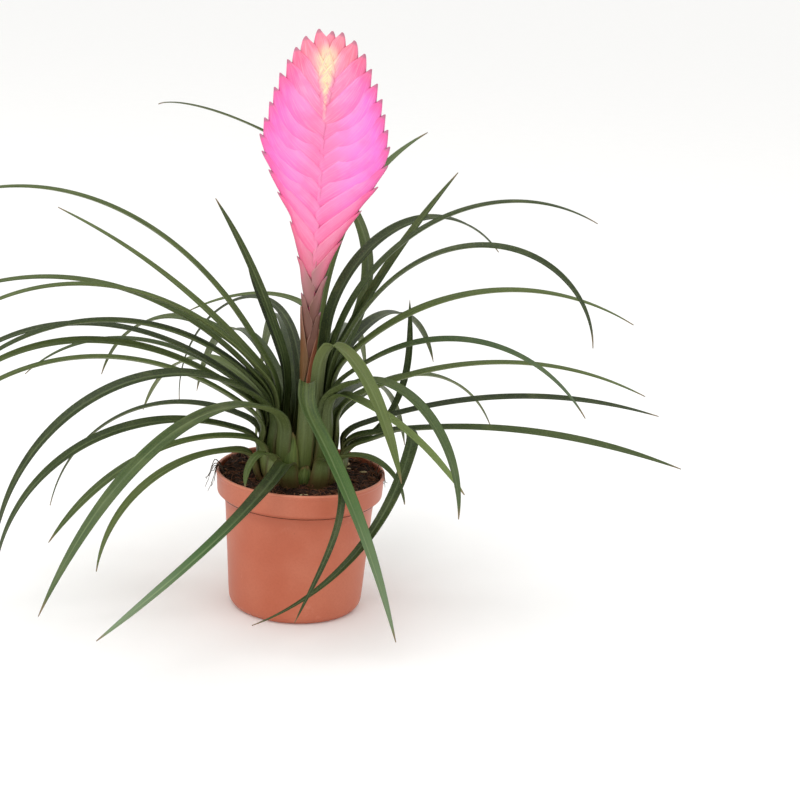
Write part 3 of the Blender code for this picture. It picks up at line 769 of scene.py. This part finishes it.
def makeSpike():
    skin = makeBractMaterial()
    lean = (Matrix.Translation(stemPoint(spike["footZ"]))
            @ Matrix.Rotation(math.atan(stem["lean"]), 4, "Y"))
    rows, wing = spike["rows"], spike["wing"]
    columns = 2 * wing + 1
    bracts = []
    for side, hand in ((-1, "left"), (1, "right")):
        bracts += [(share, side, readCurve(spike[hand + "Edge"], share), n)
                   for n, share in enumerate(spike[hand], 1)]
    bracts.append((0.994, 1, 0.0012, 16))   # the last one, still upright in the middle
    chance = random.Random(spike["seed"])
    for tipShare, side, reach, n in bracts:
        uneven = chance.uniform(-0.04, 0.04)
        points, numbers = [], {key: [] for key in ("grow", "along", "depth", "flank", "heart")}
        for r in range(rows + 1):
            t = 0.997 * (1 - (1 - r / rows) ** 1.35)      # closer rows towards the tip
            keel, margin, swell = bractLines(tipShare, side, reach, t)
            for c in range(columns):
                s = abs(c - wing) / wing
                front = 1 if c > wing else -1
                at = keel.lerp(margin, s)
                at.y = front * swell * (0.84 * (1 - (1 - s) ** 5) + (0.16 + uneven) * s)
                at.z += 0.0004 * math.sin(7 * t + 11 * tipShare) * s * (1 - t)
                points.append(lean @ at)
                # the cream heart is a narrow wedge, widest under the uppermost tips
                level = at.z / spike["length"]
                wedge = blendTo(0.0004, 0.0135 if at.x < 0 else 0.0100, (level - 0.76) / 0.19)
                warm = ease(1.25 * (1 - abs(at.x) / max(wedge, 0.0008))) * ease((level - 0.66) / 0.14)
                warm *= ease((0.985 - level) / 0.06) * ease((0.86 - t) / 0.3)
                # the lowest bracts are duller towards their feet
                grown = tipShare - 0.14 * (1 - t) * (1 - ease((tipShare - 0.35) / 0.15))
                for key, value in (("grow", grown), ("along", t), ("depth", s),
                                   ("flank", side), ("heart", warm)):
                    numbers[key].append(value)
        name = f"bract{'Left' if side < 0 else 'Right'}{n:02d}"
        piece = makePiece(name, points, gridFaces(rows + 1, columns), [skin], "spike",
                          numbers)
        thicken(piece, spike["skin"])
    points, faces, last = [], [], spike["rachisSteps"]
    line = [lean @ Vector((0, 0, (spike["length"] - 0.014) * k / last)) for k in range(last + 1)]
    addTube(points, faces, line, [blendTo(*spike["rachis"], k / last) for k in range(last + 1)], 16)
    count = len(points)
    makePiece("spikeRachis", points, faces, [skin], "spike",
              {"grow": [0.3] * count, "along": [0.1] * count, "depth": [0.4] * count,
               "flank": [0.0] * count, "heart": [0.0] * count})


makeSpike()
print("flower spike is made")


leaf = {
    "footZ": 0.0722, "buried": 0.0050, "thickness": 0.00048, "sheathThickness": 0.0018,
    "clearWidth": 0.0080, "tilt": 84, "turn": 0.022, "innermost": 0.0055, "layer": 0.00100,
    "rows": 84, "columns": 9, "wider": 1.06, "seed": 5,
    # leaves of fresher green, and yellower ones, by number
    "fresh": {28: 1.0, 30: 0.80, 34: 0.20, 27: 0.20, 12: 0.3, 6: 0.2},
    "yellow": {33: 0.75, 34: 0.05, 37: 0.1},
    # dark, middle and light green
    "upper": (paint(32, 44, 16), paint(54, 70, 28), paint(90, 104, 50)),
    "under": (paint(60, 72, 34), paint(84, 96, 50), paint(116, 126, 78)),
    "patch": paint(100, 108, 64), "freshGreen": paint(70, 112, 54), "paintedSheen": paint(140, 156, 128),
    "yellowGreen": paint(134, 154, 84), "midrib": paint(146, 164, 116),
    "bloomUpper": paint(106, 116, 66), "bloomUnder": paint(134, 142, 98),
    "sheath": (paint(84, 98, 44), paint(122, 134, 72)), "sheathRim": paint(84, 66, 34),
    "foot": paint(92, 68, 40), "paintedCrownShade": paint(24, 34, 10), "tip": paint(128, 104, 74),
    # of each leaf: azimuth of the blade, sheath length (mm), rise where it leaves the sheath,
    # droop from there to the tip, how late the droop comes, sideways sweep, length and width
    # (mm), and for a blade that is bent over, where, how much down and how much round
    "blades": (
        # inner leaves, standing highest
        (48, 40, 46, 47, 2.0, 212, 318, 7), (172, 40, 59, 90, 1.3, 0, 280, 8),
        (160, 37, 43, 24, 1.0, 0, 200, 7), (145, 50, 64, 16, 1.2, 0, 155, 6),
        (136, 44, 60, 5, 0.9, 0, 114, 6), (75, 48, 75, 50, 1.0, -46, 212, 7),
        (25, 50, 62, 14, 1.0, 0, 182, 7), (42, 57, 84, 128, 0.8, 0, 240, 8),
        (16, 60, 70, 98, 1.0, 0, 254, 8), (352, 54, 64, 150, 1.4, 0, 255, 9),
        (0, 48, 47, 76, 1.0, 0, 230, 9), (340, 41, 40, 95, 1.2, 0, 205, 8),
        (102, 30, 54, 150, 1.0, 66, 228, 6), (75, 24, 40, 70, 1.0, 110, 205, 6),
        # arching out to the left
        (185, 34, 46, 82, 1.2, 0, 250, 8), (192, 37, 48, 92, 1.2, 0, 245, 8),
        (188, 31, 46, 108, 1.0, 0, 250, 9), (178, 26, 38, 95, 1.2, 0, 240, 8),
        (178, 23, 34, 90, 1.2, 0, 230, 8), (165, 24, 34, 80, 1.2, 0, 185, 7),
        (195, 20, 36, 105, 1.2, 0, 250, 8), (210, 27, 36, 122, 1.0, 0, 240, 9),
        (194, 10, 18, 110, 1.1, 0, 210, 8), (162, 12, 16, 94, 1.0, 0, 180, 7),
        (215, 10, 14, 66, 1.0, 0, 157, 8), (200, 2, 2, 85, 1.0, 0, 127, 7),
        # to the front, over the rim of the pot
        (238, 24, 28, 80, 0.8, 0, 250, 9), (250, 4, -14, 20, 1.0, -44, 168, 9),
        (238, 4, 20, 120, 1.0, 0, 52, 5), (262, 48, -38, 32, 0.6, 8, 206, 9, 0.06, 0, 56),
        (294, 6, -4, 62, 0.6, -95, 126, 4), (298, 58, 40, 100, 0.4, 0, 180, 8),
        (318, 38, -6, 34, 1.0, 0, 145, 8), (313, 35, 36, 126, 1.0, 0, 180, 9),
        # arching out to the right
        (5, 28, 27, 52, 1.0, 0, 210, 8), (8, 12, 20, 36, 1.0, 0, 200, 7),
        (354, 10, 13, 30, 1.0, 0, 200, 8), (332, 4, 10, 90, 1.0, 0, 66, 6),
        (20, 0, 24, -90, 0.8, 60, 110, 5), (342, 6, 24, -50, 1.0, -78, 196, 7, 0.19, 98, -84),
        # to the back
        (60, 30, 42, 105, 1.1, 0, 200, 8), (78, 22, 32, 90, 1.1, 0, 215, 8),
        (99, 24, 36, 105, 1.1, 0, 225, 8), (112, 20, 32, 100, 1.1, 0, 215, 8),
        (128, 16, 26, 90, 1.1, 0, 180, 8), (68, 10, 16, 80, 1.1, 0, 190, 8),
        (100, 12, 20, 95, 1.1, 0, 200, 8), (42, 16, 26, 85, 1.1, 0, 170, 8),
        (145, 30, 44, 115, 1.1, 0, 190, 8),
    ),
}


def seatLeaves():   # where each sheath sits round the stem: azimuth and distance from the axis
    blades = leaf["blades"]
    order = sorted(range(len(blades)), key=lambda i: -(blades[i][1] + 0.3 * blades[i][2]))
    seats = {}
    for i in order:
        best = None
        for turn in range(-12, 13, 6):
            azimuth, radius, moved = blades[i][0] + turn, leaf["innermost"], True
            while moved:
                moved = False
                half = leaf["clearWidth"] / 2 / radius
                for other, distance in seats.values():
                    apart = abs((azimuth - other + 180) % 360 - 180)
                    reach = math.degrees(half + leaf["clearWidth"] / 2 / distance) + 2
                    if apart < reach and radius < distance + leaf["layer"] - 1e-6:
                        radius = distance + leaf["layer"]
                        moved = True
            cost = radius + abs(turn) * 0.00004
            if best is None or cost < best[0]:
                best = (cost, azimuth, radius)
        seats[i] = best[1:]
    return [seats[i] for i in range(len(blades))]


def leafDirection(row, seat, t):   # heading and steepness of the midrib at a length from the foot
    azimuth, neck, rise, droop, bend, sway, length = row[0], row[1] / 1000, *row[2:6], row[6] / 1000
    turn, tilt = leaf["turn"], leaf["tilt"]
    u = max(0.0, (t - neck - turn) / (length - neck - turn))
    heading = seat + (azimuth - seat) * ease((t - 0.5 * neck) / (turn * 1.5)) + sway * u ** 1.1
    steep = tilt + (rise - tilt) * ease((t - neck) / turn) - droop * u ** bend
    if len(row) > 8:
        folded = ease((u - row[8] + 0.1) / 0.2)
        heading += row[10] * folded
        steep -= row[9] * folded
    return math.radians(heading), math.radians(steep), u


def makeLeafMaterial(name, underside):
    material = newMaterial(name, 0.45, 0.28)
    along, across, tone = reading("along"), reading("across"), reading("tone")
    sheath, far = reading("sheath"), reading("far")
    lines = joined(times(across, 11.0), times(far, 40.0), times(tone, 31.0))
    streak = speckle(lines, 1.0, 3.0)
    patchy = speckle(place(), 60, 3.0)
    greens = list(zip((0.0, 0.5, 1.0), leaf["under" if underside else "upper"]))
    shade = calc("ADD", times(streak, 0.6), times(tone, 0.42))
    colour = ramp(soften(shade, 0.22, 0.86), greens)
    colour = mixColour(soften(patchy, 0.48, 0.72, 0.0, 0.25), colour, leaf["patch"])
    fresh, yellow = reading("fresh"), reading("yellow")
    fresher = times(fresh, 0.6)
    colour = mixColour(fresher, colour, leaf["freshGreen"])
    # painted sheen, paler along the outer part of the fresher blades
    colour = mixColour(times(fresher, soften(along, 0.55, 0.95)), colour, leaf["paintedSheen"])
    colour = mixColour(times(yellow, 0.8), colour, leaf["yellowGreen"])
    # a painted sheen line beside the midrib, stronger on the fresher leaves
    sheenLine = times(soften(across, -0.34, -0.18), soften(across, 0.06, -0.10))
    sheenLine = times(sheenLine, soften(streak, 0.30, 0.60, 0.04, 0.24))
    sheenLine = times(sheenLine, calc("ADD", times(fresh, 1.6), 0.8))
    colour = mixColour(sheenLine, colour, leaf["midrib"])
    # the grey bloom of fine scales
    bloom = speckle(place(), 1300, 2.0)
    colour = mixColour(soften(bloom, 0.45, 0.75, 0.0, 0.30), colour,
                       leaf["bloomUnder" if underside else "bloomUpper"])
    # pale sheath with a brown rim, browner at the very foot
    pale = mixColour(soften(shade, 0.25, 0.85), *leaf["sheath"])
    colour = mixColour(times(sheath, 0.70), colour, pale)
    rim = soften(calc("ABSOLUTE", across), 0.50, 0.96, 0.0, 0.85)
    colour = mixColour(times(sheath, rim), colour, leaf["sheathRim"])
    colour = mixColour(soften(far, 0.013, 0.000, 0.0, 0.8), colour, leaf["foot"])
    # painted shade down in the crown, between the leaves
    paintedCrownShade = times(reading("crownShadeDepth"), soften(streak, 0.25, 0.60, 0.45, 0.95))
    colour = mixColour(paintedCrownShade, colour, leaf["paintedCrownShade"])
    # dry tip
    colour = mixColour(soften(along, 0.955, 0.995, 0.0, 0.85), colour, leaf["tip"])
    wire(colour, "Base Color")
    wire(soften(streak, 0.3, 0.7, 0.40, 0.54), "Roughness")
    bumpFrom(streak, 0.35, 0.0004)
    return material


def makeLeaves():
    chance = random.Random(leaf["seed"])
    upper = makeLeafMaterial("leafUpper", False)
    under = makeLeafMaterial("leafUnder", True)
    rows, columns = leaf["rows"], leaf["columns"]
    keys = ("along", "across", "tone", "sheath", "far", "fresh", "yellow", "crownShadeDepth")
    for i, (row, (seat, distance)) in enumerate(zip(leaf["blades"], seatLeaves()), 1):
        tone, twist, phase = chance.random(), chance.uniform(5, 14), chance.uniform(0, math.tau)
        bulge = chance.uniform(0.0010, 0.0034)
        bladeWidth, neck, length = row[7] / 1000, row[1] / 1000, row[6] / 1000
        at = Vector(onRing(distance, math.radians(seat), leaf["footZ"]))
        at -= Vector((0, 0, leaf["buried"]))
        points, numbers, weights = [], {key: [] for key in keys}, []
        stepLength = (length + leaf["buried"]) / rows
        for r in range(rows + 1):
            t = max(r * stepLength - leaf["buried"], 0.0)
            heading, steep, u = leafDirection(row, seat, t)
            forward = Vector(onRing(math.cos(steep), heading, math.sin(steep)))
            across = Vector((-math.sin(heading), math.cos(heading), 0))
            inward = forward.cross(across)
            roll = math.radians(twist * math.sin(3.4 * u + phase) + 9 * math.cos(heading)) * ease(u * 3)
            across, inward = (across * math.cos(roll) + inward * math.sin(roll),
                              inward * math.cos(roll) - across * math.sin(roll))
            settled = ease((t - 0.22 * neck) / (leaf["turn"] * 1.4))
            sheathWide = min(max(1.8 * distance, 0.0096), 0.0116) - 0.05 * neck
            blade = bladeWidth * leaf["wider"] * max(1 - 0.32 * u - 0.67 * u ** 5, 0.015)
            width = sheathWide + (blade - sheathWide) * settled
            cupped = max(0.46 * distance, 0.0042)
            opened = ease((t - 0.6 * neck) / (leaf["turn"] * 1.2))
            radius = cupped + (0.75 * bladeWidth - cupped) * opened
            belly = bulge * math.sin(math.pi * min(t / (0.7 * neck + 0.012), 1.0))
            # painted shade down in the crown, most of all on the inner leaves
            crownShadeDepth = ease((t - 0.010) / 0.012) * (1 - ease((t - 0.8 * neck - 0.006) / 0.024))
            crownShadeDepth *= max(0.25, 1 - distance / 0.014)
            sheath = 1 - ease((t - 0.006) / 0.024)
            fresh = leaf["fresh"].get(i, 0.0) * ease((t / length - 0.30) / 0.35)
            yellow = leaf["yellow"].get(i, 0.0) * ease((t / length - 0.35) / 0.2)
            for c in range(columns):
                v = 2 * c / (columns - 1) - 1
                angle = v * width / 2 / radius
                crease = 0.06 * width * settled * (1 - abs(v)) ** 2
                lap = 0.0006 * v * (1 - settled)     # one edge lies over the next sheath
                points.append(at + across * radius * math.sin(angle)
                              + inward * (radius * (1 - math.cos(angle)) - crease - lap - belly))
                for key, value in zip(keys, (t / length, v, tone, sheath, t, fresh, yellow, crownShadeDepth)):
                    numbers[key].append(value)
                weights.append(1 - ease((t - 0.3 * neck) / 0.03))
            # on to the next row, in the direction half way there
            halfway = max((r + 0.5) * stepLength - leaf["buried"], 0.0)
            heading, steep = leafDirection(row, seat, halfway)[:2]
            at += stepLength * Vector(onRing(math.cos(steep), heading, math.sin(steep)))
        faces = [tuple(reversed(f)) for f in gridFaces(rows + 1, columns)]
        piece = makePiece(f"leaf{i:02d}", points, faces, [upper, under], f"leaf_{i:02d}",
                          numbers)
        group = piece.vertex_groups.new(name="sheath")
        for index, weight in enumerate(weights):
            group.add([index], weight, "REPLACE")
        thicken(piece, leaf["sheathThickness"], 0.0, "sheath",
                leaf["thickness"] / leaf["sheathThickness"], under=1)


oldBases = {
    # azimuth, distance from the axis, height, width, outward tilt, in mm and degrees
    "places": ((222, 15.0, 15, 10, 14), (250, 17.0, 27, 11, 3), (274, 16.5, 10, 9, 20),
               (302, 16.0, 12, 10, 16), (325, 15.0, 18, 9, 8), (203, 16.0, 10, 9, 22),
               (348, 16.0, 12, 9, 18), (120, 16.0, 14, 10, 14), (60, 16.0, 13, 10, 16)),
    "skin": 0.0011, "rows": 26, "columns": 13, "seed": 21,
    "green": paint(74, 92, 38), "paleGreen": paint(112, 126, 62), "foot": paint(98, 76, 46),
    "cut": paint(130, 104, 66), "edge": paint(120, 106, 60),
}


def makeOldBases():   # the blunt, bulging feet of leaves that were cut away
    material = newMaterial("oldBaseSkin", 0.55, 0.3)
    along, across, tone = reading("along"), reading("across"), reading("tone")
    lines = joined(times(across, 9.0), times(along, 1.6), times(tone, 17.0))
    streak = speckle(lines, 1.0, 4.0, 0.6)
    colour = mixColour(soften(streak, 0.35, 0.70), oldBases["green"], oldBases["paleGreen"])
    colour = mixColour(soften(along, 0.35, 0.02, 0.0, 0.75), colour, oldBases["foot"])
    colour = mixColour(soften(along, 0.86, 1.0, 0.0, 0.7), colour, oldBases["cut"])
    edge = soften(calc("ABSOLUTE", across), 0.72, 1.0, 0.0, 0.5)
    colour = mixColour(edge, colour, oldBases["edge"])
    wire(colour, "Base Color")
    bumpFrom(streak, 0.4, 0.0005)
    chance = random.Random(oldBases["seed"])
    points, faces, numbers = [], [], {key: [] for key in ("along", "across", "tone")}
    rows, columns = oldBases["rows"], oldBases["columns"]
    for azimuth, distance, height, wide, tilt in oldBases["places"]:
        out = Vector(onRing(1, math.radians(azimuth)))
        side = Vector((-out.y, out.x, 0))
        start, tone, slant = len(points), chance.random(), chance.uniform(-0.35, 0.35)
        for r in range(rows + 1):
            t = r / rows
            belly = 0.0032 * math.sin(math.pi * min(t * 1.12, 1)) ** 0.8
            lean = height / 1000 * t * math.tan(math.radians(tilt))
            middle = out * (distance / 1000 * 0.82 + belly + lean) + Vector(
                (0, 0, leaf["footZ"] - 0.004 + (height / 1000 + 0.004) * t))
            half = wide / 2000 * (1 - 0.9 * t ** 3.2) ** 0.5 * (0.86 + 0.14 * math.sin(math.pi * t))
            for c in range(columns):
                v = 2 * c / (columns - 1) - 1
                curve = half * 0.62 * (1 - v * v)
                at = middle + side * half * v + out * curve + side * slant * 0.006 * t * t
                at.z += 0.0008 * math.sin(5 * v + tone * 9) * t * t
                points.append(at)
                for key, value in (("along", t), ("across", v), ("tone", tone)):
                    numbers[key].append(value)
        faces += gridFaces(rows + 1, columns, start)
    piece = makePiece("leafOldBases", points, faces, [material], "leaf_29", numbers)
    thicken(piece, oldBases["skin"], -1.0)


makeLeaves()
makeOldBases()
print("leaves are made")
